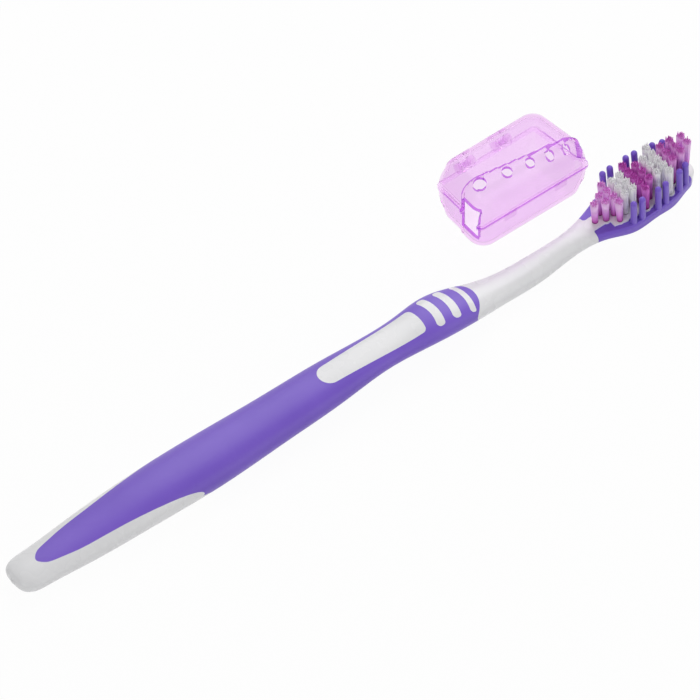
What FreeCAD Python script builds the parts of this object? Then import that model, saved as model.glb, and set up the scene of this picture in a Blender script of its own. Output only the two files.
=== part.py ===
"""Manual toothbrush with its hinged clear head cap lying beside it.

Millimetres. The brush runs along X from butt to tip with the bristles up, and the
cap lies on the +Y side of the neck. At the end everything is moved so that the
origin is on the table, under the middle of the whole set.
"""
import math
import os

import FreeCAD
import Part

# Brush body
BRUSH_LENGTH = 190.0
BUTT_ROUND = 3.4
BUTT_WIDTH = 10.0
BUTT_THICKNESS = 4.6
BUTT_LEVEL = 3.0
BELLY_X = 42.7
BELLY_WIDTH = 13.8
BELLY_THICKNESS = 8.6
WAIST_X = 104.0
WAIST_WIDTH = 9.9
WAIST_THICKNESS = 5.6
WAIST_LEVEL = 6.6
HUMP_X = 118.5
HUMP_WIDTH = 11.7
HUMP_THICKNESS = 6.6
HUMP_LEVEL = 6.6
DIP_X = 143.6
DIP_WIDTH = 6.9
DIP_THICKNESS = 5.5
NECK_X = 154.5
NECK_WIDTH = 5.8
NECK_THICKNESS = 4.9
NECK_LEVEL = 3.8
HEAD_LENGTH = 29.2
HEAD_START_WIDTH = 7.2
HEAD_WIDTH = 12.8
HEAD_TAPER_LENGTH = 16.5
HEAD_THICKNESS = 3.6
TIP_THICKNESS = 3.7
HEAD_TOP_LEVEL = 6.5
HEAD_PITCH = 3.0
HEAD_SQUARENESS = 5.0
END_BLUNTNESS = 0.99

# Rubber grip over the handle
GRIP_START_X = 6.6
GRIP_FULL_X = 49.5
GRIP_END_X = 128.9
GRIP_END_RADIUS = 6.0
GRIP_THICKNESS = 1.0
GRIP_WRAP = 5.0
TONGUE_HALF_WIDTHS = (1.15, 1.95, 2.65, 3.45, 4.15, 4.7, 5.5, 6.25)
TONGUE_OVERRUN = 0.3
TONGUE_SHARES = (0.015, 0.04, 0.1, 0.2, 0.36, 0.51, 0.69, 0.85)
WINDOW_START_X = 85.5
WINDOW_END_X = 112.9
WINDOW_START_WIDTH = 5.5
WINDOW_END_WIDTH = 7.1
WINDOW_CORNER_RADIUS = 1.2
STRIPE_X = 117.3
STRIPE_PITCH = 4.5
STRIPE_WIDTHS = (2.1, 2.1, 1.5)
STRIPE_LENGTH = 8.8
STRIPE_BOW_RADIUS = 12.0
STRIPE_END_ROUNDING = 0.8

# Tufts: across-head places, height above the plate, lean towards the tip, for each row
TUFT_ROWS = (
    ((0.0,), 6.8, 0.0),
    ((-1.1, 1.1), 6.9, 0.0),
    ((-3.15, -1.05, 1.05, 3.15), 7.0, 0.0),
    ((-2.3, 0.0, 2.3), 7.5, 0.0),
    ((-2.3, 0.0, 2.3), 7.7, 0.0),
    ((-4.1, -2.05, 0.0, 2.05, 4.1), 7.5, 0.0),
    ((-2.4, 0.0, 2.4), 7.7, 0.0),
    ((-2.4, 0.0, 2.4), 8.0, 0.0),
    ((-4.1, -2.05, 0.0, 2.05, 4.1), 8.4, 0.0),
    ((-2.2, 0.0, 2.2), 8.8, 1.5),
    ((-2.0, 0.0, 2.0), 9.2, 3.0),
    ((-1.1, 1.1), 9.6, 4.5),
)
TUFT_ROW_PITCH = 2.25
FIRST_ROW_INSET = 2.3
TUFT_DIAMETER = 1.44
TUFT_TOP_DIAMETER = 1.9
TUFT_HOLE_DEPTH = 2.5
ANCHOR_LENGTH = 1.8
ANCHOR_HEIGHT = 0.9
ANCHOR_THICKNESS = 0.25
ANCHOR_LIFT = 0.2

# Rubber rims and fingers on the head
RIM_START_INSET = 0.4
RIM_END_INSET = 2.6
RIM_WIDTH = 1.6
RIM_LEDGE = 0.5
RIM_START_PAD = 2.4
RIM_START_PAD_LENGTH = 4.6
RIM_TUFT_CLEARANCE = 0.3
FINGER_ROWS = (4, 5, 7, 8, 10, 11)
FINGER_DIAMETER = 1.5
FINGER_HEIGHT = 7.2
FINGER_EDGE_INSET = 0.8
FINGER_PAD_RADIUS = 1.15
FINGER_SPLAY = 2.5

# Head cap: two clear shells on a level seam, hinged along the back edge
CAP_HEIGHT = 19.0
CAP_WALL = 0.8
CAP_HEAD_CLEARANCE = 0.55
CAP_EDGE_RADIUS = 4.4
CAP_CORNER_RADIUS = 1.6
CAP_END_SKEW = 2.0
CAP_STEP = 0.45
CAP_STEP_AT_NECK = 6.9
CAP_STEP_AT_TIP = 2.4
CAP_FRONT_Y = 11.9
CAP_TIP_SETBACK = 19.4
SLOT_WIDTH = 5.6
SLOT_HEIGHT = 9.0
SLOT_INSET = 0.9
SLOT_CORNER_RADIUS = 0.6
FLANGE_WIDTH = 0.4
FLANGE_HEIGHT = 0.5
FLANGE_CORNER_RADIUS = 1.0
SEAM_GAP = 0.16
VENT_DIAMETERS = (3.1, 2.5, 2.2, 2.0, 1.7)
VENT_FIRST = 3.4
VENT_SPAN = 21.9
VENT_CROWDING = 0.85
VENT_STEP_INSET = 1.9
TAB_SPACING = 14.2
TAB_LENGTH = 3.3
TAB_THICKNESS = 0.5
TAB_RISE = 0.8
TAB_DROP = 1.4
TAB_CLEARANCE = 0.15
HINGE_SPACING = 10.3
HINGE_LENGTH = 4.8
HINGE_EAR = 1.2
HINGE_SETBACK = 1.3
HINGE_END_GAP = 0.12
KNUCKLE_DIAMETER = 2.4
KNUCKLE_CLEARANCE = 0.2
PIN_DIAMETER = 1.2
PIN_CLEARANCE = 0.06
SNAP_MOUTH = 0.9

SECTION_POINTS = 24
LOFT_DEGREE = 3
FAR = 60.0

HEAD_START_X = BRUSH_LENGTH - HEAD_LENGTH
HEAD_WIDE_X = BRUSH_LENGTH - HEAD_TAPER_LENGTH
BELLY_LEVEL = BELLY_THICKNESS / 2
DIP_LEVEL = DIP_THICKNESS / 2
PITCH_SLOPE = math.tan(math.radians(HEAD_PITCH))

CAP_SEAM_Z = CAP_HEIGHT / 2
TALLEST_TUFT = max(height for _, height, _ in TUFT_ROWS)
CAP_LENGTH = HEAD_LENGTH + CAP_HEAD_CLEARANCE + CAP_WALL
CAP_DEPTH = (HEAD_THICKNESS + TALLEST_TUFT + 2 * CAP_HEAD_CLEARANCE
             + 2 * CAP_WALL + CAP_STEP)
CAP_END_X = BRUSH_LENGTH - CAP_TIP_SETBACK
CAP_START_X = CAP_END_X - CAP_LENGTH
CAP_BACK_Y = CAP_FRONT_Y + CAP_DEPTH
HINGE_Y = CAP_BACK_Y - CAP_STEP + HINGE_SETBACK


def vec(x, y, z):
    return FreeCAD.Vector(x, y, z)


def box(x0, x1, y0, y1, z0, z1):
    return Part.makeBox(x1 - x0, y1 - y0, z1 - z0, vec(x0, y0, z0))


def mid(a, b, share=0.5):
    return a + (b - a) * share


def head_width(x):
    """Width of the head plate: eases out from the neck, then rounds off to the tip."""
    if x <= HEAD_WIDE_X:
        share = (x - HEAD_START_X) / (HEAD_WIDE_X - HEAD_START_X)
        return mid(HEAD_START_WIDTH, HEAD_WIDTH, math.sin(math.pi / 2 * share))
    share = (x - HEAD_WIDE_X) / HEAD_TAPER_LENGTH * END_BLUNTNESS
    return HEAD_WIDTH * math.sqrt(1 - share ** 2.4)


def head_top(x):
    return HEAD_TOP_LEVEL + (x - HEAD_START_X) * PITCH_SLOPE


def head_station(x):
    share = (x - HEAD_START_X) / HEAD_LENGTH
    full = mid(HEAD_THICKNESS, TIP_THICKNESS, share)
    thickness = full * math.sqrt(1 - (share * END_BLUNTNESS) ** 10)
    level = head_top(x) - full / 2
    square = mid(2.6, HEAD_SQUARENESS, math.sin(math.pi * min(share, 0.5)))
    return (x, head_width(x), thickness, level, square)


def brush_stations():
    """Sections from butt to tip: x, width, thickness, centre height, squareness."""
    rows = []
    for share in (0.0, 0.15, 0.45):
        swell = math.sqrt(1 - (END_BLUNTNESS * (1 - share)) ** 2)
        rows.append((share * BUTT_ROUND, BUTT_WIDTH * swell, BUTT_THICKNESS * swell, BUTT_LEVEL, 2.2))
    rows += [
        (BUTT_ROUND, BUTT_WIDTH, BUTT_THICKNESS, BUTT_LEVEL, 2.2),
        (mid(BUTT_ROUND, BELLY_X, 0.27), mid(BUTT_WIDTH, BELLY_WIDTH, 0.36),
         mid(BUTT_THICKNESS, BELLY_THICKNESS, 0.36), mid(BUTT_LEVEL, BELLY_LEVEL, 0.19), 2.2),
        (mid(BUTT_ROUND, BELLY_X, 0.62), mid(BUTT_WIDTH, BELLY_WIDTH, 0.8),
         mid(BUTT_THICKNESS, BELLY_THICKNESS, 0.73), mid(BUTT_LEVEL, BELLY_LEVEL, 0.67), 2.2),
        (BELLY_X, BELLY_WIDTH, BELLY_THICKNESS, BELLY_LEVEL, 2.2),
        (mid(BELLY_X, WAIST_X, 0.32), mid(BELLY_WIDTH, WAIST_WIDTH, 0.13),
         mid(BELLY_THICKNESS, WAIST_THICKNESS, 0.12), mid(BELLY_LEVEL, WAIST_LEVEL, 0.17), 2.2),
        (mid(BELLY_X, WAIST_X, 0.62), mid(BELLY_WIDTH, WAIST_WIDTH, 0.44),
         mid(BELLY_THICKNESS, WAIST_THICKNESS, 0.4), mid(BELLY_LEVEL, WAIST_LEVEL, 0.55), 2.2),
        (mid(BELLY_X, WAIST_X, 0.82), mid(BELLY_WIDTH, WAIST_WIDTH, 0.75),
         mid(BELLY_THICKNESS, WAIST_THICKNESS, 0.73), mid(BELLY_LEVEL, WAIST_LEVEL, 0.87), 2.2),
        (WAIST_X, WAIST_WIDTH, WAIST_THICKNESS, WAIST_LEVEL, 2.2),
        (mid(WAIST_X, HUMP_X), mid(WAIST_WIDTH, HUMP_WIDTH, 0.45),
         mid(WAIST_THICKNESS, HUMP_THICKNESS, 0.45), mid(WAIST_LEVEL, HUMP_LEVEL, 0.2), 2.2),
        (HUMP_X, HUMP_WIDTH, HUMP_THICKNESS, HUMP_LEVEL, 2.2),
        (mid(HUMP_X, DIP_X, 0.22), mid(HUMP_WIDTH, DIP_WIDTH, 0.18),
         mid(HUMP_THICKNESS, DIP_THICKNESS, 0.27), mid(HUMP_LEVEL, DIP_LEVEL, 0.24), 2.2),
        (mid(HUMP_X, DIP_X, 0.42), mid(HUMP_WIDTH, DIP_WIDTH, 0.5),
         mid(HUMP_THICKNESS, DIP_THICKNESS, 0.68), mid(HUMP_LEVEL, DIP_LEVEL, 0.56), 2.2),
        (mid(HUMP_X, DIP_X, 0.63), mid(HUMP_WIDTH, DIP_WIDTH, 0.82),
         mid(HUMP_THICKNESS, DIP_THICKNESS, 0.89), mid(HUMP_LEVEL, DIP_LEVEL, 0.83), 2.2),
        (DIP_X, DIP_WIDTH, DIP_THICKNESS, DIP_LEVEL, 2.2),
        (NECK_X, NECK_WIDTH, NECK_THICKNESS, NECK_LEVEL, 2.2),
    ]
    for share in (0.0, 0.2, 0.42, 0.6, 0.75, 0.87, 0.94, 0.98, 1.0):
        rows.append(head_station(HEAD_START_X + share * HEAD_LENGTH))
    return rows


def section(x, width, thickness, level, square, inset):
    points = []
    for k in range(SECTION_POINTS):
        angle = 2 * math.pi * k / SECTION_POINTS - math.pi / 2
        cos, sin = math.cos(angle), math.sin(angle)
        y = (width / 2 - inset) * math.copysign(abs(cos) ** (2 / square), cos)
        z = (thickness / 2 - inset) * math.copysign(abs(sin) ** (2 / square), sin)
        points.append(vec(x, y, level + z))
    curve = Part.BSplineCurve()
    curve.interpolate(Points=points, PeriodicFlag=True)
    return Part.Wire([curve.toShape()])


def brush_loft(inset, start_x, end_x):
    rows = [row for row in brush_stations() if start_x <= row[0] <= end_x]
    return Part.makeLoft([section(*row, inset) for row in rows], True, False, False, LOFT_DEGREE)


def tongue_outline():
    """Plan of the rubber: a tongue from near the butt that widens to the full handle."""
    side = [vec(mid(GRIP_START_X, GRIP_FULL_X, share), half, 0)
            for share, half in zip(TONGUE_SHARES, TONGUE_HALF_WIDTHS)]
    side.append(vec(GRIP_FULL_X, BELLY_WIDTH / 2 + TONGUE_OVERRUN, 0))
    other = [vec(point.x, -point.y, 0) for point in side]
    edge = Part.BSplineCurve()
    edge.interpolate(side[::-1] + [vec(GRIP_START_X, 0, 0)] + other)
    first, last = edge.StartPoint, edge.EndPoint
    round_x = GRIP_END_X - GRIP_END_RADIUS
    wide = BELLY_WIDTH
    below = Part.makePolygon([last, vec(last.x, -wide, 0), vec(round_x, -wide, 0),
                              vec(round_x, -GRIP_END_RADIUS, 0)])
    above = Part.makePolygon([vec(round_x, GRIP_END_RADIUS, 0), vec(round_x, wide, 0),
                              vec(first.x, wide, 0), first])
    end = Part.Arc(vec(round_x, -GRIP_END_RADIUS, 0), vec(GRIP_END_X, 0, 0),
                   vec(round_x, GRIP_END_RADIUS, 0))
    return Part.Wire([edge.toShape()] + below.Edges + [end.toShape()] + above.Edges)


def grip_region():
    """The tongue's plan above the handle's widest line, all round the handle behind it."""
    top = 2 * WAIST_LEVEL + BELLY_THICKNESS
    edge = Part.BSplineCurve()
    edge.interpolate([
        vec(0, 0, BUTT_LEVEL),
        vec(mid(GRIP_START_X, GRIP_FULL_X, 0.5), 0, mid(BUTT_LEVEL, BELLY_LEVEL)),
        vec(GRIP_FULL_X - GRIP_WRAP, 0, BELLY_LEVEL),
        vec(GRIP_FULL_X, 0, mid(0, BELLY_LEVEL, 0.75)),
        vec(GRIP_FULL_X + GRIP_WRAP, 0, -1.0),
    ])
    line = Part.makePolygon([
        edge.EndPoint, vec(BRUSH_LENGTH, 0, -1.0), vec(BRUSH_LENGTH, 0, top), vec(0, 0, top), edge.StartPoint])
    profile = Part.Face(Part.Wire([edge.toShape()] + line.Edges))
    side = profile.extrude(vec(0, 2 * FAR, 0))
    side.translate(vec(0, -FAR, 0))
    plan = Part.Face(tongue_outline()).extrude(vec(0, 0, 2 * FAR))
    plan.translate(vec(0, 0, -FAR))
    return side.common(plan)


def upright_edges(solid, half):
    return [edge for edge in solid.Edges
            if edge.BoundBox.ZLength > FAR / 2 and abs(abs(edge.CenterOfMass.y) - half) < 0.001]


def window_prism():
    half, end_half = WINDOW_START_WIDTH / 2, WINDOW_END_WIDTH / 2
    round_x = WINDOW_START_X + half
    start = Part.Arc(vec(round_x, half, 0), vec(WINDOW_START_X, 0, 0), vec(round_x, -half, 0))
    end = Part.Arc(vec(WINDOW_END_X, -end_half, 0), vec(WINDOW_END_X + stripe_bow(end_half), 0, 0),
                   vec(WINDOW_END_X, end_half, 0))
    wire = Part.Wire([
        start.toShape(),
        Part.makeLine(vec(round_x, -half, 0), vec(WINDOW_END_X, -end_half, 0)),
        end.toShape(),
        Part.makeLine(vec(WINDOW_END_X, end_half, 0), vec(round_x, half, 0))])
    window = Part.Face(wire).extrude(vec(0, 0, FAR))
    return window.makeFillet(WINDOW_CORNER_RADIUS, upright_edges(window, end_half))


def stripe_bow(half):
    return STRIPE_BOW_RADIUS - math.sqrt(STRIPE_BOW_RADIUS ** 2 - half ** 2)


def stripe_prisms():
    """Bowed round-ended bars of bare plastic under the thumb, bulging towards the head."""
    half = STRIPE_LENGTH / 2
    bars = []
    for k, width in enumerate(STRIPE_WIDTHS):
        x = STRIPE_X + k * STRIPE_PITCH
        outer = Part.makeCylinder(STRIPE_BOW_RADIUS + width / 2, FAR, vec(x - STRIPE_BOW_RADIUS, 0, 0))
        inner = Part.makeCylinder(STRIPE_BOW_RADIUS - width / 2, FAR, vec(x - STRIPE_BOW_RADIUS, 0, 0))
        bar = outer.cut(inner).common(box(x - half, x + half, -half, half, 0, FAR))
        bars.append(bar.makeFillet(STRIPE_END_ROUNDING * width / 2, upright_edges(bar, half)))
    return bars


def handle_parts(body):
    """Split the handle into the bare core and the rubber moulded flush with it."""
    inner = brush_loft(GRIP_THICKNESS, BUTT_ROUND, DIP_X)
    above = box(0, BRUSH_LENGTH, -FAR, FAR, WAIST_LEVEL, 2 * FAR)
    shown = [prism.common(above) for prism in [window_prism()] + stripe_prisms()]
    grip = body.common(grip_region()).cut([inner] + shown)
    return body.cut(grip), grip


def row_x(row):
    return HEAD_START_X + FIRST_ROW_INSET + (row - 1) * TUFT_ROW_PITCH


def place_on_head(shape, x, y, lean_to_tip=0.0, lean_out=0.0):
    """Stand a shape made at the origin on the plate, square to its top face."""
    shape.rotate(vec(0, 0, 0), vec(1, 0, 0), -lean_out)
    shape.rotate(vec(0, 0, 0), vec(0, 1, 0), lean_to_tip - HEAD_PITCH)
    shape.translate(vec(x, y, head_top(x)))
    return shape


def tuft_places():
    for row, (across, height, lean) in enumerate(TUFT_ROWS, start=1):
        for k, y in enumerate(across, start=1):
            yield row, k, y, height, lean


def tuft_solid(height):
    base, top = TUFT_DIAMETER / 2, TUFT_TOP_DIAMETER / 2
    outline = Part.makePolygon([
        vec(0, 0, -TUFT_HOLE_DEPTH), vec(base, 0, -TUFT_HOLE_DEPTH), vec(base, 0, 0),
        vec(top, 0, height), vec(0, 0, height), vec(0, 0, -TUFT_HOLE_DEPTH)])
    return Part.Face(outline).revolve(vec(0, 0, 0), vec(0, 0, 1), 360)


def anchor_solid():
    z0 = ANCHOR_LIFT - TUFT_HOLE_DEPTH
    return box(-ANCHOR_LENGTH / 2, ANCHOR_LENGTH / 2, -ANCHOR_THICKNESS / 2, ANCHOR_THICKNESS / 2,
               z0, z0 + ANCHOR_HEIGHT)


def hole_solid():
    return Part.makeCylinder(TUFT_DIAMETER / 2, TUFT_HOLE_DEPTH + 2, vec(0, 0, -TUFT_HOLE_DEPTH))


def finger_places():
    for row in FINGER_ROWS:
        x = row_x(row)
        yield x, head_width(x) / 2 - FINGER_EDGE_INSET


def finger_solid():
    radius = FINGER_DIAMETER / 2
    shaft = Part.makeCylinder(radius, FINGER_HEIGHT - radius + RIM_LEDGE, vec(0, 0, -2 * RIM_LEDGE))
    return shaft.fuse(Part.makeSphere(radius, vec(0, 0, FINGER_HEIGHT - radius - RIM_LEDGE)))


def rim_region(side):
    """Plan area of one rubber rim: a band along the edge, widened round the fingers."""
    x0 = HEAD_START_X + RIM_START_INSET
    x1 = BRUSH_LENGTH - RIM_END_INSET
    places = [mid(x0, x1, share) for share in (0, 0.12, 0.28, 0.5, 0.72, 0.88, 1)]
    edge = Part.BSplineCurve()
    edge.interpolate([vec(x, side * (head_width(x) / 2 - RIM_WIDTH), 0) for x in places])
    first, last = edge.StartPoint, edge.EndPoint
    far = side * HEAD_WIDTH
    outline = Part.Wire([
        edge.toShape(), Part.makeLine(last, vec(x1, far, 0)),
        Part.makeLine(vec(x1, far, 0), vec(x0, far, 0)), Part.makeLine(vec(x0, far, 0), first)])
    region = Part.Face(outline).extrude(vec(0, 0, FAR))
    pads = [Part.makeCylinder(FINGER_PAD_RADIUS, FAR, vec(x, side * y, 0)) for x, y in finger_places()]
    start_y = side * head_width(x0 + RIM_START_PAD / 2) / 2
    low, high = sorted((start_y, start_y - side * RIM_START_PAD))
    start_pad = box(x0, x0 + RIM_START_PAD_LENGTH, low, high, 0, FAR)
    upright = [edge for edge in start_pad.Edges if abs(edge.BoundBox.ZLength - FAR) < 0.001]
    start_pad = start_pad.makeFillet(RIM_START_PAD / 4, upright)
    region = region.fuse(pads + [start_pad])
    clear = TUFT_DIAMETER / 2 + RIM_TUFT_CLEARANCE
    keep_off = [Part.makeCylinder(clear, FAR, vec(row_x(row), y, 0))
                for row, _, y, _, _ in tuft_places() if y * side > 0]
    return region.cut(keep_off)


def rim_solid(body, region, side):
    """One rim: its flat top lies a ledge below the plate and carries the fingers."""
    ledge = box(-HEAD_LENGTH, HEAD_LENGTH, -HEAD_WIDTH, HEAD_WIDTH, -RIM_LEDGE, FAR)
    ledge = place_on_head(ledge, HEAD_WIDE_X, 0)
    rim = body.common(region).cut(ledge)
    fingers = [place_on_head(finger_solid(), x, side * y, lean_out=side * FINGER_SPLAY)
               for x, y in finger_places()]
    return rim.fuse(fingers).removeSplitter()


def cap_corners(inset):
    x0, x1 = CAP_START_X + inset, CAP_END_X - inset
    y0, y1 = CAP_FRONT_Y + inset, CAP_BACK_Y - inset
    return [vec(x0, y0, 0), vec(x1, y0, 0), vec(x1 - CAP_END_SKEW, y1, 0), vec(x0, y1, 0)]


def cap_prism(inset, z0, z1):
    corners = cap_corners(inset)
    face = Part.Face(Part.makePolygon(corners + corners[:1]))
    face.translate(vec(0, 0, z0))
    return face.extrude(vec(0, 0, z1 - z0))


def edges_along(solid, way):
    """The solid's straight edges that run in one direction."""
    return [edge for edge in solid.Edges if edge.tangentAt(edge.FirstParameter).cross(way).Length < 0.001]


def cap_block(inset, step=0.0):
    """Closed block with long soft edges; the step draws in its sides and top but not its underside."""
    draw = inset + step
    x0, x1 = CAP_START_X + draw, CAP_END_X - draw
    y0, y1 = CAP_FRONT_Y + draw, CAP_BACK_Y - draw
    z0, z1 = inset, CAP_HEIGHT - draw
    edge_radius = CAP_EDGE_RADIUS - draw
    plan = cap_prism(draw, z0, z1)
    block = plan.makeFillet(CAP_CORNER_RADIUS - draw, edges_along(plan, vec(0, 0, 1)))
    sides = box(x0 - FAR, x1 + FAR, y0, y1, z0, z1)
    neck_end = box(x0, x1 + FAR, y0 - FAR, y1 + FAR, z0, z1)
    tip_end = box(x0 - FAR, x1, y0 - FAR, y1 + FAR, z0, z1)
    skew = math.degrees(math.atan2(CAP_END_SKEW, y1 - y0))
    for slab, way, turn in ((sides, vec(1, 0, 0), 0), (neck_end, vec(0, 1, 0), 0), (tip_end, vec(0, 1, 0), skew)):
        soft = slab.makeFillet(edge_radius, edges_along(slab, way))
        soft.rotate(vec(x1, y0, 0), vec(0, 0, 1), turn)
        block = block.common(soft)
    return block


def cap_plate(inset, step=0.0):
    """The seam flange's outline, with the block's upright corners only."""
    plate = cap_prism(inset + step, CAP_SEAM_Z - FLANGE_HEIGHT, CAP_SEAM_Z + FLANGE_HEIGHT)
    upright = [edge for edge in plate.Edges if abs(edge.BoundBox.ZLength - 2 * FLANGE_HEIGHT) < 0.001]
    return plate.makeFillet(FLANGE_CORNER_RADIUS, upright)


def step_y(x):
    share = (x - CAP_START_X) / CAP_LENGTH
    return CAP_FRONT_Y + mid(CAP_STEP_AT_NECK, CAP_STEP_AT_TIP, share)


def stepped(form, inset):
    """The front of the cap stands a step proud of the back, along a slanting line."""
    x0, x1 = CAP_START_X - FAR, CAP_END_X + FAR
    front = Part.Face(Part.makePolygon([
        vec(x0, CAP_FRONT_Y - FAR, 0), vec(x1, CAP_FRONT_Y - FAR, 0), vec(x1, step_y(x1), 0),
        vec(x0, step_y(x0), 0), vec(x0, CAP_FRONT_Y - FAR, 0)])).extrude(vec(0, 0, CAP_HEIGHT))
    return form(inset).common(front).fuse(form(inset, CAP_STEP).cut(front))


def neck_slot():
    y0 = CAP_FRONT_Y + SLOT_INSET
    slot = box(CAP_START_X - 2 * FLANGE_WIDTH, CAP_START_X + CAP_EDGE_RADIUS, y0, y0 + SLOT_WIDTH,
               CAP_SEAM_Z - SLOT_HEIGHT / 2, CAP_SEAM_Z + SLOT_HEIGHT / 2)
    along = [edge for edge in slot.Edges if edge.BoundBox.XLength > 0.001]
    return slot.makeFillet(SLOT_CORNER_RADIUS, along)


def vent_cutters():
    count = len(VENT_DIAMETERS)
    whole = 1 - VENT_CROWDING ** (count - 1)
    for k, diameter in enumerate(VENT_DIAMETERS):
        x = CAP_START_X + VENT_FIRST + VENT_SPAN * (1 - VENT_CROWDING ** k) / whole
        y = step_y(x) - VENT_STEP_INSET
        yield Part.makeCylinder(diameter / 2, CAP_HEIGHT, vec(x, y, CAP_SEAM_Z + FLANGE_HEIGHT))


def tab_centres():
    centre = (CAP_START_X + CAP_END_X) / 2
    return (centre - TAB_SPACING / 2, centre + TAB_SPACING / 2)


def hinge_centres():
    centre = (CAP_START_X + CAP_END_X - CAP_END_SKEW) / 2
    return (centre - HINGE_SPACING / 2, centre + HINGE_SPACING / 2)


def rod(diameter, x0, x1):
    return Part.makeCylinder(diameter / 2, x1 - x0, vec(x0, HINGE_Y, CAP_SEAM_Z), vec(1, 0, 0))


def ear_spans(centre):
    half = HINGE_LENGTH / 2
    return ((centre - half, centre - half + HINGE_EAR), (centre + half - HINGE_EAR, centre + half))


def knuckle_span(centre):
    reach = HINGE_LENGTH / 2 - HINGE_EAR - HINGE_END_GAP
    return (centre - reach, centre + reach)


def hinge_web(x0, x1, below):
    wall_y = CAP_BACK_Y - CAP_STEP - CAP_WALL / 2
    reach = KNUCKLE_DIAMETER / 2
    if below:
        return box(x0, x1, wall_y, HINGE_Y, CAP_SEAM_Z - reach, CAP_SEAM_Z - SEAM_GAP / 2)
    return box(x0, x1, wall_y, HINGE_Y, CAP_SEAM_Z + SEAM_GAP / 2, CAP_SEAM_Z + reach)


def cap_shells():
    """The two plain shells with flange and neck slot, before tabs and hinges."""
    form = stepped(cap_block, 0).fuse(stepped(cap_plate, -FLANGE_WIDTH))
    shell = form.cut(stepped(cap_block, CAP_WALL)).cut(neck_slot())
    x0, x1 = CAP_START_X - FAR, CAP_END_X + FAR
    y0, y1 = CAP_FRONT_Y - FAR, CAP_BACK_Y + FAR
    base = shell.common(box(x0, x1, y0, y1, -FAR, CAP_SEAM_Z - SEAM_GAP / 2))
    lid = shell.common(box(x0, x1, y0, y1, CAP_SEAM_Z + SEAM_GAP / 2, FAR))
    return base, lid


def cap_parts():
    base, lid = cap_shells()
    lid = lid.cut(list(vent_cutters()))
    room = KNUCKLE_DIAMETER + 2 * KNUCKLE_CLEARANCE
    for centre in hinge_centres():
        k0, k1 = knuckle_span(centre)
        base = base.cut(rod(room, k0 - HINGE_END_GAP, k1 + HINGE_END_GAP))
        for e0, e1 in ear_spans(centre):
            lid = lid.cut(rod(room, e0 - HINGE_END_GAP, e1 + HINGE_END_GAP))
            base = base.fuse([rod(KNUCKLE_DIAMETER, e0, e1), hinge_web(e0, e1, True)])
        base = base.fuse(rod(PIN_DIAMETER, centre - HINGE_LENGTH / 2, centre + HINGE_LENGTH / 2))
        knuckle = rod(KNUCKLE_DIAMETER, k0, k1).fuse(hinge_web(k0, k1, False))
        mouth = box(k0, k1, HINGE_Y, HINGE_Y + KNUCKLE_DIAMETER,
                    CAP_SEAM_Z - SNAP_MOUTH / 2, CAP_SEAM_Z + SNAP_MOUTH / 2)
        lid = lid.fuse(knuckle.cut([rod(PIN_DIAMETER + 2 * PIN_CLEARANCE, k0, k1), mouth]))
    for centre in tab_centres():
        half = TAB_LENGTH / 2
        tab_y = CAP_FRONT_Y - TAB_CLEARANCE
        notch = box(centre - half - TAB_CLEARANCE, centre + half + TAB_CLEARANCE,
                    CAP_FRONT_Y - 2 * FLANGE_WIDTH, CAP_FRONT_Y,
                    CAP_SEAM_Z - 2 * FLANGE_HEIGHT, CAP_SEAM_Z)
        base = base.cut(notch)
        tongue = box(centre - half, centre + half, tab_y - TAB_THICKNESS, tab_y,
                     CAP_SEAM_Z - TAB_DROP, CAP_SEAM_Z + TAB_RISE)
        root = box(centre - half, centre + half, tab_y - TAB_THICKNESS, CAP_FRONT_Y + CAP_WALL / 2,
                   CAP_SEAM_Z + SEAM_GAP / 2, CAP_SEAM_Z + TAB_RISE)
        lid = lid.fuse([tongue, root])
    return base.removeSplitter(), lid.removeSplitter()


def build():
    pieces = {}
    body = brush_loft(0.0, 0.0, BRUSH_LENGTH)
    core, pieces["handle_grip"] = handle_parts(body)

    anchors = []
    holes = []
    for row, k, y, height, lean in tuft_places():
        x = row_x(row)
        anchor = place_on_head(anchor_solid(), x, y, lean)
        tuft = place_on_head(tuft_solid(height), x, y, lean)
        pieces[f"tuft_{row:02d}_{k}"] = tuft.cut(anchor)
        anchors.append(anchor)
        holes.append(place_on_head(hole_solid(), x, y, lean))
    core = core.cut(holes).cut(anchors)
    pieces["tuft_anchors"] = Part.makeCompound(anchors)

    for name, side in (("left_head_rim", 1), ("right_head_rim", -1)):
        region = rim_region(side)
        pieces[name] = rim_solid(body, region, side)
        core = core.cut(region)
    pieces["core"] = core
    table = vec(0, 0, body.optimalBoundingBox().ZMin)
    for name, shape in zip(("cap_base", "cap_lid"), cap_parts()):
        shape.translate(table)
        pieces[name] = shape
    return pieces


def main():
    pieces = build()
    whole = Part.makeCompound(list(pieces.values())).optimalBoundingBox()
    shift = vec(-whole.Center.x, -whole.Center.y, -whole.ZMin)
    os.makedirs("parts", exist_ok=True)
    for name, shape in pieces.items():
        shape.translate(shift)
        shape.exportStep(f"parts/{name}.step")
        print(name, len(shape.Solids), shape.isValid(), round(shape.Volume, 1))
    print("shift", [round(v, 3) for v in shift], "size",
          [round(v, 2) for v in (whole.XLength, whole.YLength, whole.ZLength)])
    print("hinge at", round(HINGE_Y + shift.y, 3), CAP_SEAM_Z)


main()
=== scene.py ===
import math
import random

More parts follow.
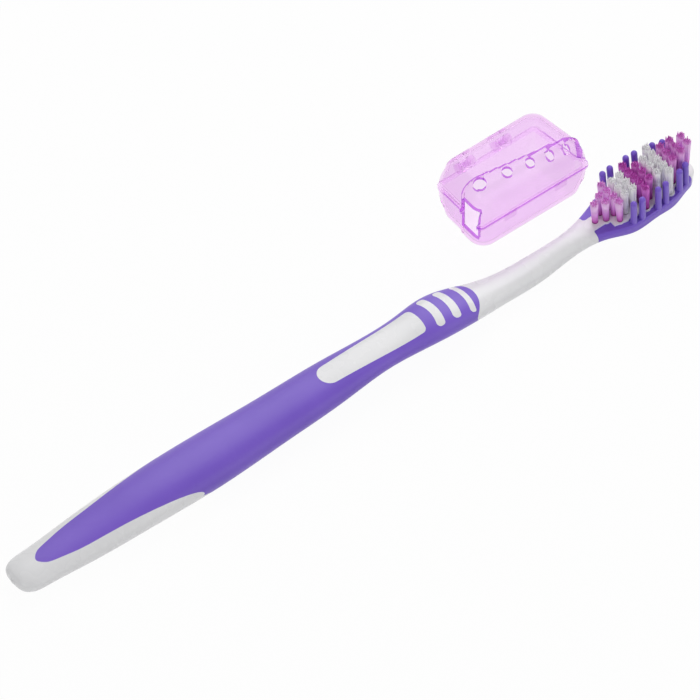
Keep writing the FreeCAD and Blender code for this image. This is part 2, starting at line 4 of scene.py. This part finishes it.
import bmesh
import bpy
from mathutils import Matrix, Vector


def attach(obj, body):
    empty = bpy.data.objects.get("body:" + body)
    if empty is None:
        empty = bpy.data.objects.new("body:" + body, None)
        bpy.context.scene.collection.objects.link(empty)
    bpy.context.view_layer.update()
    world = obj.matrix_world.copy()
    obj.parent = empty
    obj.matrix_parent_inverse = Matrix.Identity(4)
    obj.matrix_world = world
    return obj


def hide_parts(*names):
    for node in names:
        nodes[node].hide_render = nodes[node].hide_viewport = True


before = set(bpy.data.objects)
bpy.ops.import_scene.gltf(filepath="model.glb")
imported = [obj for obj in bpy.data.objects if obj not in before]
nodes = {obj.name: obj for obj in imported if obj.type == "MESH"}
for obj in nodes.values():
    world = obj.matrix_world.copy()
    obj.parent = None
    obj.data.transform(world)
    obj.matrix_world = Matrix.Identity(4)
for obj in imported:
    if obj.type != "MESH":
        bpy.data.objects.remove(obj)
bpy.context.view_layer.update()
mm = 0.001
print("frame loaded:", len(nodes), "nodes")


def startMaterial(name):
    material = bpy.data.materials.new(name)
    material.use_nodes = True
    tree = material.node_tree
    place = tree.nodes.new("ShaderNodeTexCoord")
    return material, tree, tree.nodes["Principled BSDF"], place.outputs["Object"]


def noise(tree, where, scale, detail):
    node = tree.nodes.new("ShaderNodeTexNoise")
    node.inputs["Scale"].default_value = scale
    node.inputs["Detail"].default_value = detail
    tree.links.new(where, node.inputs["Vector"])
    return node.outputs["Fac"]


def ramp(tree, value, stops):
    node = tree.nodes.new("ShaderNodeValToRGB")
    bar = node.color_ramp
    while len(bar.elements) < len(stops):
        bar.elements.new(0.5)
    for element, (place, colour) in zip(bar.elements, stops):
        element.position = place
        element.color = (*colour, 1.0)
    tree.links.new(value, node.inputs["Fac"])
    return node.outputs["Color"]


# the middle part of a noise pattern, where nearly all its values lie
noiseSpan = (0.3, 0.7)


def spread(tree, value, low, high):
    node = tree.nodes.new("ShaderNodeMapRange")
    node.inputs["From Min"].default_value = noiseSpan[0]
    node.inputs["From Max"].default_value = noiseSpan[1]
    node.inputs["To Min"].default_value = low
    node.inputs["To Max"].default_value = high
    tree.links.new(value, node.inputs["Value"])
    return node.outputs["Result"]


def bump(tree, shader, height, strength, distance):
    node = tree.nodes.new("ShaderNodeBump")
    node.inputs["Strength"].default_value = strength
    node.inputs["Distance"].default_value = distance
    tree.links.new(height, node.inputs["Height"])
    tree.links.new(node.outputs["Normal"], shader.inputs["Normal"])


# moulded plastic of the core: glossy white with a faint cloudiness
whiteLook = {"pale": (0.86, 0.86, 0.872), "shade": (0.835, 0.835, 0.85), "cloud": 40.0, "rough": (0.24, 0.3),
             "grain": 300.0, "ior": 1.46}


def whitePlastic():
    material, tree, shader, place = startMaterial("whitePlastic")
    cloud = noise(tree, place, whiteLook["cloud"], 3.0)
    tree.links.new(ramp(tree, cloud, ((0.35, whiteLook["shade"]), (0.65, whiteLook["pale"]))),
                   shader.inputs["Base Color"])
    grain = noise(tree, place, whiteLook["grain"], 1.0)
    tree.links.new(spread(tree, grain, *whiteLook["rough"]), shader.inputs["Roughness"])
    shader.inputs["IOR"].default_value = whiteLook["ior"]
    return material


# soft satin rubber of the grip, rims and fingers
rubberLook = {"pale": (0.19, 0.092, 0.62), "shade": (0.168, 0.078, 0.58), "cloud": 60.0,
              "rough": (0.38, 0.5), "grain": 3200.0, "bumpDepth": 0.015 * mm, "bumpShare": 0.25,
              "sheen": 0.25, "sheenRough": 0.5}


def satinRubber():
    material, tree, shader, place = startMaterial("satinRubber")
    cloud = noise(tree, place, rubberLook["cloud"], 3.0)
    tree.links.new(ramp(tree, cloud, ((0.35, rubberLook["shade"]), (0.65, rubberLook["pale"]))),
                   shader.inputs["Base Color"])
    grain = noise(tree, place, rubberLook["grain"], 2.0)
    tree.links.new(spread(tree, grain, *rubberLook["rough"]), shader.inputs["Roughness"])
    bump(tree, shader, grain, rubberLook["bumpShare"], rubberLook["bumpDepth"])
    shader.inputs["Sheen Weight"].default_value = rubberLook["sheen"]
    shader.inputs["Sheen Roughness"].default_value = rubberLook["sheenRough"]
    return material


# clear tinted plastic of the cap: the tint deepens where a wall is seen along its length; painted shade, a deep
# lilac, covers the faces marked for it (hole edges, the front seam and the roof step), standing in for the dark
# lines that refraction draws there
capLook = {"tint": (0.925, 0.82, 0.945), "deep": (0.912, 0.8, 0.938), "cloud": 120.0,
           "rough": (0.02, 0.04), "grain": 260.0, "depthTint": (0.94, 0.6, 0.955), "density": 170.0,
           "paintedEdgeShadeColour": (0.42, 0.08, 0.68), "ior": 1.03, "coat": 0.3, "coatRough": 0.12}


def clearPlastic():
    material, tree, shader, place = startMaterial("clearPlastic")
    cloud = noise(tree, place, capLook["cloud"], 2.0)
    body = ramp(tree, cloud, ((0.35, capLook["deep"]), (0.65, capLook["tint"])))
    # painted edge shade: the marked faces are painted a deep lilac in place of the dark lines that refraction draws
    # at edges
    mark = tree.nodes.new("ShaderNodeAttribute")
    mark.attribute_name = "paintedEdgeShade"
    blend = tree.nodes.new("ShaderNodeMixRGB")
    tree.links.new(mark.outputs["Fac"], blend.inputs["Fac"])
    tree.links.new(body, blend.inputs["Color1"])
    blend.inputs["Color2"].default_value = (*capLook["paintedEdgeShadeColour"], 1.0)
    tree.links.new(blend.outputs["Color"], shader.inputs["Base Color"])
    grain = noise(tree, place, capLook["grain"], 2.0)
    tree.links.new(spread(tree, grain, *capLook["rough"]), shader.inputs["Roughness"])
    shader.inputs["IOR"].default_value = capLook["ior"]
    shader.inputs["Transmission Weight"].default_value = 1.0
    shader.inputs["Coat Weight"].default_value = capLook["coat"]
    shader.inputs["Coat Roughness"].default_value = capLook["coatRough"]
    depth = tree.nodes.new("ShaderNodeVolumeAbsorption")
    depth.inputs["Color"].default_value = (*capLook["depthTint"], 1.0)
    depth.inputs["Density"].default_value = capLook["density"]
    tree.links.new(depth.outputs["Volume"], tree.nodes["Material Output"].inputs["Volume"])
    return material


# drawn wire of the anchors, deep in the tuft holes
anchorLook = {"pale": (0.62, 0.55, 0.36), "shade": (0.48, 0.42, 0.28), "grain": 4000.0, "rough": (0.28, 0.42)}


def anchorMetal():
    material, tree, shader, place = startMaterial("anchorMetal")
    grain = noise(tree, place, anchorLook["grain"], 2.0)
    tree.links.new(ramp(tree, grain, ((0.35, anchorLook["shade"]), (0.65, anchorLook["pale"]))),
                   shader.inputs["Base Color"])
    tree.links.new(spread(tree, grain, *anchorLook["rough"]), shader.inputs["Roughness"])
    shader.inputs["Metallic"].default_value = 1.0
    return material


# nylon filaments, coloured along their length from the plate to the cut tip
pinkStops = ((0.0, (0.36, 0.02, 0.24)), (0.12, (0.60, 0.10, 0.52)), (0.42, (0.84, 0.36, 0.88)),
             (0.75, (0.95, 0.62, 0.98)), (0.94, (0.95, 0.6, 0.97)), (0.995, (0.74, 0.2, 0.68)))
magentaStops = ((0.0, (0.34, 0.015, 0.24)), (0.4, (0.52, 0.05, 0.48)), (0.75, (0.64, 0.10, 0.60)),
                (0.94, (0.7, 0.14, 0.66)), (0.995, (0.56, 0.06, 0.48)))
whiteStops = ((0.0, (0.93, 0.92, 0.95)), (0.2, (0.97, 0.965, 0.98)), (0.6, (0.98, 0.975, 0.985)),
              (1.0, (0.96, 0.955, 0.97)))
nylonLook = {"grain": 5200.0, "rough": (0.42, 0.55), "ior": 1.3}


def filamentLook(name, stops, deepStops):
    material, tree, shader, place = startMaterial(name)
    along, dye = (tree.nodes.new("ShaderNodeAttribute") for _ in range(2))
    along.attribute_name = "along"
    dye.attribute_name = "dye"
    blend = tree.nodes.new("ShaderNodeMixRGB")
    tree.links.new(dye.outputs["Fac"], blend.inputs["Fac"])
    tree.links.new(ramp(tree, along.outputs["Fac"], stops), blend.inputs["Color1"])
    tree.links.new(ramp(tree, along.outputs["Fac"], deepStops), blend.inputs["Color2"])
    tree.links.new(blend.outputs["Color"], shader.inputs["Base Color"])
    grain = noise(tree, place, nylonLook["grain"], 1.0)
    tree.links.new(spread(tree, grain, *nylonLook["rough"]), shader.inputs["Roughness"])
    shader.inputs["IOR"].default_value = nylonLook["ior"]
    return material


whiteSkin = whitePlastic()
rubberSkin = satinRubber()
capSkin = clearPlastic()
for name, skin in (("core", whiteSkin), ("handle_grip", rubberSkin), ("left_head_rim", rubberSkin),
                   ("right_head_rim", rubberSkin), ("tuft_anchors", anchorMetal())):
    nodes[name].data.materials.clear()
    nodes[name].data.materials.append(skin)
print("skins on the moulded pieces")

# the cap's upright corners are tight at the seam and grow rounder towards its top and underside
capShape = {"length": 30.55 * mm, "depth": 16.35 * mm, "skew": 2.0 * mm, "seam": 9.5 * mm, "gap": 0.08 * mm,
            "wall": 0.8 * mm, "flange": 0.4 * mm, "flangeRise": 0.5 * mm,
            "wallRises": (0.5, 1.0, 1.7, 2.4, 3.1, 3.8, 4.5), "edgeSteps": 10, "topSteps": 11,
            "edgeRadius": {"lid": 4.3 * mm, "base": 3.2 * mm}, "tightCorner": 1.3 * mm, "roundCorner": 4.2 * mm,
            "leastCorner": 0.3 * mm, "cornerSteps": 12, "sideSteps": (90, 44), "crease": 35.0,
            "step": 0.45 * mm, "stepAtNeck": 6.9 * mm, "stepAtTip": 2.4 * mm, "stepRamp": 0.3 * mm,
            "stepShadeBand": 0.15 * mm, "tipSetback": 0.3 * mm, "plainBack": 3 * mm,
            "slotInset": 0.9 * mm, "slotWidth": 5.6 * mm, "slotRise": 4.5 * mm, "slotReach": 3 * mm,
            "ventWidths": (3.1 * mm, 2.5 * mm, 2.2 * mm, 2.0 * mm, 1.7 * mm), "ventFirst": 3.4 * mm,
            "ventSpan": 21.9 * mm, "ventCrowding": 0.85, "ventStepInset": 1.9 * mm, "holeSnap": 0.4 * mm,
            "fittingGap": 0.02 * mm, "weld": 0.001 * mm}
capNeck = min(v.co.x for v in nodes["cap_base"].data.vertices) + capShape["flange"]
capFront = min(v.co.y for v in nodes["cap_base"].data.vertices) + capShape["flange"]
capTip, capBack = capNeck + capShape["length"], capFront + capShape["depth"]
capLevels = ([("flange", capShape["gap"]), ("flange", capShape["flangeRise"])]
             + [("wall", rise * mm) for rise in capShape["wallRises"]]
             + [("edge", math.pi / 2 * k / capShape["edgeSteps"]) for k in range(capShape["edgeSteps"] + 1)]
             + [("top", k / capShape["topSteps"]) for k in range(1, capShape["topSteps"])])


def stepY(x):
    share = (x - capNeck) / capShape["length"]
    return capFront + capShape["stepAtNeck"] + (capShape["stepAtTip"] - capShape["stepAtNeck"]) * share


def capRing(inset, corner, setback):
    shape = capShape
    x0, x1, y0, y1 = capNeck + inset, capTip - inset - setback, capFront + inset, capBack - inset
    posts = [Vector((x0, y0)), Vector((x1, y0)), Vector((x1 - shape["skew"], y1)), Vector((x0, y1))]
    ring = []
    for k, post in enumerate(posts):
        after = posts[(k + 1) % 4]
        arriving, leaving = (post - posts[k - 1]).normalized(), (after - post).normalized()
        for j in range(shape["cornerSteps"] + 1):
            turn = math.pi / 2 * j / shape["cornerSteps"]
            ring.append(post - arriving * corner * (1 - math.sin(turn)) + leaving * corner * (1 - math.cos(turn)))
        start, end = ring[-1], after - leaving * corner
        count = shape["sideSteps"][k % 2]
        ring += [start.lerp(end, j / count) for j in range(1, count)]
    return ring


def capRow(level, draw, roofDraw, isOuter, edgeRadius, setback):
    shape = capShape
    kind, value = level
    straightRise = shape["seam"] - edgeRadius
    if kind == "edge":
        inset = draw + (edgeRadius - draw) * (1 - math.cos(value))
        rise = straightRise + (edgeRadius - roofDraw) * math.sin(value)
    elif kind == "top":
        inset = edgeRadius + (shape["depth"] / 2 - edgeRadius) * value
        rise = shape["seam"] - roofDraw
    else:
        inset, rise = draw - (shape["flange"] if kind == "flange" and isOuter else 0), value
    share = min(rise / straightRise, 1.0) ** 3
    corner = shape["tightCorner"] + (shape["roundCorner"] - shape["tightCorner"]) * share - max(inset, 0)
    return [Vector((*point, rise)) for point in capRing(inset, max(corner, shape["leastCorner"]), setback)]


def capGrid(isOuter, isLid):
    shape = capShape
    wall = 0.0 if isOuter else shape["wall"]
    edgeRadius = shape["edgeRadius"]["lid" if isLid else "base"]
    grid = []
    for level in capLevels:
        proud = capRow(level, wall, wall, isOuter, edgeRadius, 0.0)
        drawn = capRow(level, wall + shape["step"], wall + (shape["step"] if isLid else 0), isOuter, edgeRadius,
                       shape["tipSetback"])
        row = []
        for p, q in zip(proud, drawn):
            share = min(max((p.y - stepY(p.x)) / shape["stepRamp"], 0.0), 1.0)
            row.append(p.lerp(q, share))
        grid.append(row)
    return grid


def ventPlaces():
    shape = capShape
    whole = 1 - shape["ventCrowding"] ** (len(shape["ventWidths"]) - 1)
    for k, width in enumerate(shape["ventWidths"]):
        x = capNeck + shape["ventFirst"] + shape["ventSpan"] * (1 - shape["ventCrowding"] ** k) / whole
        yield Vector((x, stepY(x) - shape["ventStepInset"])), width / 2


def cutHoles(outer, inner, isLid):
    # the quads left out for the neck slot and the vents, with the hole edges drawn true
    shape = capShape
    low, high = capFront + shape["slotInset"], capFront + shape["slotInset"] + shape["slotWidth"]
    gone = set()
    count = len(outer[0])
    vents = list(ventPlaces()) if isLid else []
    for row in range(len(outer) - 1):
        for k in range(count):
            ring = [(row, k), (row, (k + 1) % count), (row + 1, (k + 1) % count), (row + 1, k)]
            middle = sum((outer[r][c] for r, c in ring), Vector()) / 4
            if middle.x < capNeck + shape["slotReach"] and low < middle.y < high and middle.z < shape["slotRise"]:
                gone.add((row, k))
            for centre, radius in vents:
                if middle.z > shape["slotRise"] / 2 and (middle.xy - centre).length < radius:
                    gone.add((row, k))
    for row, k in gone:
        for r, c in ((row, k), (row, (k + 1) % count), (row + 1, (k + 1) % count), (row + 1, k)):
            around = ((r, c), (r - 1, c), (r, (c - 1) % count), (r - 1, (c - 1) % count))
            if all(quad in gone for quad in around):
                continue
            for grid in (outer, inner):
                point = grid[r][c]
                for centre, radius in vents:
                    if point.z > shape["slotRise"] / 2 and (point.xy - centre).length < radius + shape["holeSnap"]:
                        point.xy = centre + (point.xy - centre).normalized() * radius
                if point.z < shape["slotRise"] and point.x < capNeck + shape["slotReach"]:
                    for side in (low, high):
                        if abs(point.y - side) < shape["holeSnap"]:
                            point.y = side
    return gone


# each half is hollowed where the hinge pieces of the other half turn
hingeShape = {"spacing": 10.3 * mm, "length": 4.8 * mm, "ear": 1.2 * mm, "setback": 1.3 * mm, "room": 1.4 * mm,
              "margin": 0.47 * mm}


def clearHinge(grid, isLid):
    shape = hingeShape
    axisY = capBack - capShape["step"] + shape["setback"]
    backs = [v.co.x for v in nodes["cap_base"].data.vertices if v.co.y > axisY]
    middle = (min(backs) + max(backs)) / 2
    ear, end = shape["length"] / 2 - shape["ear"], shape["length"] / 2
    near, far = (ear - shape["margin"], end + shape["margin"]) if isLid else (0.0, ear + shape["margin"])
    for row in grid:
        for point in row:
            away = abs(abs(point.x - middle) - shape["spacing"] / 2)
            if near <= away <= far and point.z < shape["room"]:
                point.y = min(point.y, axisY - math.sqrt(shape["room"] ** 2 - point.z ** 2))


def weaveShell(bm, isLid):
    outer, inner = capGrid(True, isLid), capGrid(False, isLid)
    gone = cutHoles(outer, inner, isLid)
    clearHinge(outer, isLid)
    paintedEdgeShade = bm.faces.layers.float.new("paintedEdgeShade")
    way = 1 if isLid else -1
    skins = [[[bm.verts.new((p.x, p.y, capShape["seam"] + way * p.z)) for p in row] for row in grid]
             for grid in (outer, inner)]
    count = len(outer[0])
    for row in range(len(outer) - 1):
        for k in range(count):
            if (row, k) in gone:
                continue
            n = (k + 1) % count
            # faces along the roof step and the front seam of the lid, and the hole rims, are marked for the painted
            # edge shade
            steps = [outer[r][c].y - stepY(outer[r][c].x) for r in (row, row + 1) for c in (k, n)]
            onStep = min(steps) < capShape["stepRamp"] / 2 and max(steps) > -capShape["stepShadeBand"]
            onSeam = row == 0 and outer[row][k].y < capBack - capShape["plainBack"]
            for skin, mark in zip(skins, (float(isLid and (onStep or onSeam)), 0.0)):
                bm.faces.new((skin[row][k], skin[row][n], skin[row + 1][n], skin[row + 1][k]))[paintedEdgeShade] = mark
            rims = []
            if row == 0 or (row - 1, k) in gone:
                rims.append(((row, k), (row, n)))
            if (row + 1, k) in gone:
                rims.append(((row + 1, k), (row + 1, n)))
            if (row, (k - 1) % count) in gone:
                rims.append(((row, k), (row + 1, k)))
            if (row, n) in gone:
                rims.append(((row, n), (row + 1, n)))
            for (r, c), (r2, c2) in rims:
                rim = bm.faces.new((skins[0][r][c], skins[0][r2][c2], skins[1][r2][c2], skins[1][r][c]))
                rim[paintedEdgeShade] = float(max(r, r2) > 0)
    for skin in skins:
        bm.faces.new(skin[-1])


def addFittings(bm, node):
    # the hinge at the back and the tabs at the front, as far as they stand out from the flange
    flange = capShape["flange"]
    for edge, way in ((capBack - capShape["step"] + flange, -1), (capFront - flange, 1)):
        part = bmesh.new()
        part.from_mesh(node.data)
        bmesh.ops.remove_doubles(part, verts=part.verts, dist=capShape["weld"])
        cut = bmesh.ops.bisect_plane(part, geom=part.verts[:] + part.edges[:] + part.faces[:],
                                     plane_co=(0, edge - way * capShape["fittingGap"], 0), plane_no=(0, way, 0),
                                     clear_outer=True)
        rim = [item for item in cut["geom_cut"] if isinstance(item, bmesh.types.BMEdge)]
        bmesh.ops.holes_fill(part, edges=rim)
        mesh = bpy.data.meshes.new("fittings")
        part.to_mesh(mesh)
        part.free()
        bm.from_mesh(mesh)
        bpy.data.meshes.remove(mesh)


def makeCapHalf(name, nodeName, body):
    bm = bmesh.new()
    weaveShell(bm, nodeName == "cap_lid")
    bmesh.ops.delete(bm, geom=[vert for vert in bm.verts if not vert.link_faces], context="VERTS")
    addFittings(bm, nodes[nodeName])
    bmesh.ops.recalc_face_normals(bm, faces=bm.faces)
    mesh = bpy.data.meshes.new(name)
    bm.to_mesh(mesh)
    bm.free()
    mesh.materials.append(capSkin)
    for polygon in mesh.polygons:
        polygon.use_smooth = True
        polygon.material_index = 0
    mesh.set_sharp_from_angle(angle=math.radians(capShape["crease"]))
    half = bpy.data.objects.new(name, mesh)
    bpy.context.scene.collection.objects.link(half)
    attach(half, body)
    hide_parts(nodeName)
    print(name, len(mesh.polygons), "faces")


makeCapHalf("soft_cap_base", "cap_base", "cap_lower")
makeCapHalf("soft_cap_lid", "cap_lid", "cap_upper")

tuftShape = {"filaments": 34, "thickness": 0.2 * mm, "sides": 6, "levels": (0.35, 0.7, 0.965, 1.0),
             "tipShare": 0.6, "holeDepth": 2.5 * mm, "sunk": 0.6 * mm, "footRadius": 0.64 * mm,
             "headRadius": 1.02 * mm, "ragged": 0.5 * mm, "stray": 0.14 * mm, "seed": 11,
             "bundleSides": 14, "bundleLevels": (0.3, 0.6, 0.9), "bundleShare": 0.98, "whiteRows": (4, 5, 8, 9),
             "dyes": {6: 0.85, 7: 0.75, 10: 0.5, 11: 0.3}, "endRing": 0.2 * mm,
             "goldenTurn": 2.39996, "turnStray": 0.2, "bow": (-0.25, 0.05)}


def tuftAxis(node):
    points = [v.co.copy() for v in node.data.vertices]
    floor = min(p.z for p in points)
    top = max(p.z for p in points)
    ends = []
    for level in (floor, top):
        ring = [p for p in points if abs(p.z - level) < tuftShape["endRing"]]
        ends.append(Vector(((min(p.x for p in ring) + max(p.x for p in ring)) / 2,
                            (min(p.y for p in ring) + max(p.y for p in ring)) / 2,
                            (min(p.z for p in ring) + max(p.z for p in ring)) / 2)))
    return ends


def growFilament(bm, along, foot, tip, across, aside, bow):
    shape = tuftShape
    circle = bmesh.ops.create_circle(bm, cap_ends=True, segments=shape["sides"], radius=shape["thickness"] / 2)
    verts = list(circle["verts"])
    face = verts[0].link_faces[0]
    heights = {v: 0.0 for v in verts}
    for level in shape["levels"]:
        grown = bmesh.ops.extrude_face_region(bm, geom=[face])["geom"]
        ring = [item for item in grown if isinstance(item, bmesh.types.BMVert)]
        face = next(item for item in grown if isinstance(item, bmesh.types.BMFace))
        heights.update({v: level for v in ring})
        if level == 1.0:
            bmesh.ops.scale(bm, vec=(shape["tipShare"], shape["tipShare"], 1.0), verts=ring)
        verts += ring
    for v in verts:
        share = heights[v]
        middle = foot.lerp(tip, share) + bow * (share * (1.0 - share))
        v.co = middle + across * v.co.x + aside * v.co.y
        v[along] = share


def fillBundle(bm, along, plate, high, across, aside):
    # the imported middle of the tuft, seen between the outer filaments
    shape = tuftShape
    ring = list(bmesh.ops.create_circle(bm, cap_ends=True, segments=shape["bundleSides"], radius=1.0)["verts"])
    face = ring[0].link_faces[0]
    heights = {v: 0.0 for v in ring}
    for level in shape["bundleLevels"]:
        grown = bmesh.ops.extrude_face_region(bm, geom=[face])["geom"]
        face = next(item for item in grown if isinstance(item, bmesh.types.BMFace))
        heights.update({v: level for v in grown if isinstance(v, bmesh.types.BMVert)})
    for v, share in heights.items():
        radius = shape["bundleShare"] * (shape["footRadius"] + (shape["headRadius"] - shape["footRadius"]) * share)
        v.co = plate.lerp(high, share) + (across * v.co.x + aside * v.co.y) * radius
        v[along] = share


def makeTuft(name, node, skin, dyeing, chance):
    shape = tuftShape
    low, high = tuftAxis(node)
    axis = (high - low).normalized()
    plate = low + axis * (shape["holeDepth"] - shape["sunk"])
    across = axis.cross(Vector((0, 1, 0))).normalized()
    aside = axis.cross(across)
    bm = bmesh.new()
    along = bm.verts.layers.float.new("along")
    fillBundle(bm, along, plate, high, across, aside)
    for k in range(shape["filaments"]):
        ring = math.sqrt((k + 0.5) / shape["filaments"])
        turn = k * shape["goldenTurn"] + chance.uniform(-shape["turnStray"], shape["turnStray"])
        out = across * (ring * math.cos(turn)) + aside * (ring * math.sin(turn))
        stray = (across * chance.uniform(-1, 1) + aside * chance.uniform(-1, 1)) * shape["stray"]
        foot = plate + out * shape["footRadius"]
        tip = high + out * (shape["headRadius"] - shape["thickness"] / 2) + stray
        tip = tip - axis * chance.uniform(0.0, shape["ragged"])
        bow = out * chance.uniform(*shape["bow"]) * mm
        growFilament(bm, along, foot, tip, across, aside, bow)
    dye = bm.verts.layers.float.new("dye")
    for v in bm.verts:
        v[dye] = dyeing
    bmesh.ops.recalc_face_normals(bm, faces=bm.faces)
    mesh = bpy.data.meshes.new(name)
    bm.to_mesh(mesh)
    bm.free()
    mesh.materials.append(skin)
    for polygon in mesh.polygons:
        polygon.use_smooth = True
    tuft = bpy.data.objects.new(name, mesh)
    bpy.context.scene.collection.objects.link(tuft)
    return tuft


pinkNylon = filamentLook("pinkNylon", pinkStops, magentaStops)
whiteNylon = filamentLook("whiteNylon", whiteStops, whiteStops)
chance = random.Random(tuftShape["seed"])
tuftNames = sorted(n for n in nodes if n.startswith("tuft_") and n != "tuft_anchors")
for nodeName in tuftNames:
    row = int(nodeName.split("_")[1])
    isWhite = row in tuftShape["whiteRows"]
    tuft = makeTuft(nodeName.replace("tuft", "bristles"), nodes[nodeName],
                    whiteNylon if isWhite else pinkNylon, tuftShape["dyes"].get(row, 0.0), chance)
    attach(tuft, "brush")
    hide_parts(nodeName)
print("tufts grown:", len(tuftNames))

studio = {"floorSize": 3.0, "floorColour": (0.9, 0.9, 0.9), "floorRough": 0.9, "floorDrop": 0.05 * mm, "glow": 0.96,
          "worldLight": 0.28}


def seenDirectly(tree):
    # camera, mirror and see-through rays meet a white studio
    path = tree.nodes.new("ShaderNodeLightPath")
    total = path.outputs["Is Camera Ray"]
    for other in ("Is Glossy Ray", "Is Transmission Ray"):
        add = tree.nodes.new("ShaderNodeMath")
        add.operation = "MAXIMUM"
        tree.links.new(total, add.inputs[0])
        tree.links.new(path.outputs[other], add.inputs[1])
        total = add.outputs["Value"]
    return total


def layFloor():
    bm = bmesh.new()
    bmesh.ops.create_grid(bm, x_segments=4, y_segments=4, size=studio["floorSize"] / 2)
    mesh = bpy.data.meshes.new("floor")
    bm.to_mesh(mesh)
    bm.free()
    floor = bpy.data.objects.new("floor", mesh)
    bpy.context.scene.collection.objects.link(floor)
    material = bpy.data.materials.new("paleFloor")
    material.use_nodes = True
    tree = material.node_tree
    shader = tree.nodes["Principled BSDF"]
    shader.inputs["Base Color"].default_value = (*studio["floorColour"], 1.0)
    shader.inputs["Roughness"].default_value = studio["floorRough"]
    shader.inputs["Specular IOR Level"].default_value = 0.0
    glow = tree.nodes.new("ShaderNodeEmission")
    mix = tree.nodes.new("ShaderNodeMixShader")
    weight = tree.nodes.new("ShaderNodeMath")
    weight.operation = "MULTIPLY"
    weight.inputs[1].default_value = studio["glow"]
    tree.links.new(seenDirectly(tree), weight.inputs[0])
    tree.links.new(weight.outputs["Value"], mix.inputs["Fac"])
    tree.links.new(shader.outputs["BSDF"], mix.inputs[1])
    tree.links.new(glow.outputs["Emission"], mix.inputs[2])
    tree.links.new(mix.outputs["Shader"], tree.nodes["Material Output"].inputs["Surface"])
    mesh.materials.append(material)
    floor.location.z = -studio["floorDrop"]


def lightWorld():
    world = bpy.data.worlds.new("studioWorld")
    bpy.context.scene.world = world
    world.use_nodes = True
    tree = world.node_tree
    sky = tree.nodes["Background"]
    sky.inputs["Color"].default_value = (1.0, 1.0, 1.0, 1.0)
    strength = tree.nodes.new("ShaderNodeMapRange")
    strength.inputs["To Min"].default_value = studio["worldLight"]
    strength.inputs["To Max"].default_value = 1.0
    tree.links.new(seenDirectly(tree), strength.inputs["Value"])
    tree.links.new(strength.outputs["Result"], sky.inputs["Strength"])


lamps = {"softboxBack": {"at": (0.45, 0.35, 0.6), "size": 0.7, "watts": 4.2},
         "softboxLeft": {"at": (-1.5, -0.5, 0.9), "size": 1.0, "watts": 8.0},
         "softboxFront": {"at": (0.6, -1.0, 0.4), "size": 0.9, "watts": 3.0}}


def hangLamp(name, at, size, watts):
    lamp = bpy.data.lights.new(name, "AREA")
    lamp.energy = watts
    lamp.size = size
    rig = bpy.data.objects.new(name, lamp)
    rig.location = at
    rig.rotation_euler = (-Vector(at)).to_track_quat("-Z", "Y").to_euler()
    bpy.context.scene.collection.objects.link(rig)


layFloor()
lightWorld()
for name, lamp in lamps.items():
    hangLamp(name, **lamp)
print("studio lit")

shot = {"azimuth": -38.1, "elevation": 50.0, "aim": (0.00276, -0.007, 0.00595), "distance": 6.0,
        "frameWidth": 0.1545, "sensor": 36.0, "clip": (0.01, 40.0)}
bounces = {"diffuse_bounces": 8, "transmission_bounces": 24, "glossy_bounces": 24, "max_bounces": 32}


def setCamera():
    turn, rise = math.radians(shot["azimuth"]), math.radians(shot["elevation"])
    back = Vector((math.sin(turn) * math.cos(rise), -math.cos(turn) * math.cos(rise), math.sin(rise)))
    lens = bpy.data.cameras.new("shot")
    lens.sensor_width = shot["sensor"]
    lens.lens = shot["sensor"] * shot["distance"] / shot["frameWidth"]
    lens.clip_start, lens.clip_end = shot["clip"]
    camera = bpy.data.objects.new("shot", lens)
    camera.location = Vector(shot["aim"]) + back * shot["distance"]
    camera.rotation_euler = (-back).to_track_quat("-Z", "Y").to_euler()
    bpy.context.scene.collection.objects.link(camera)
    bpy.context.scene.camera = camera


setCamera()
bpy.context.scene.view_settings.view_transform = "Standard"
for limit, count in bounces.items():
    setattr(bpy.context.scene.cycles, limit, count)
print("camera set")
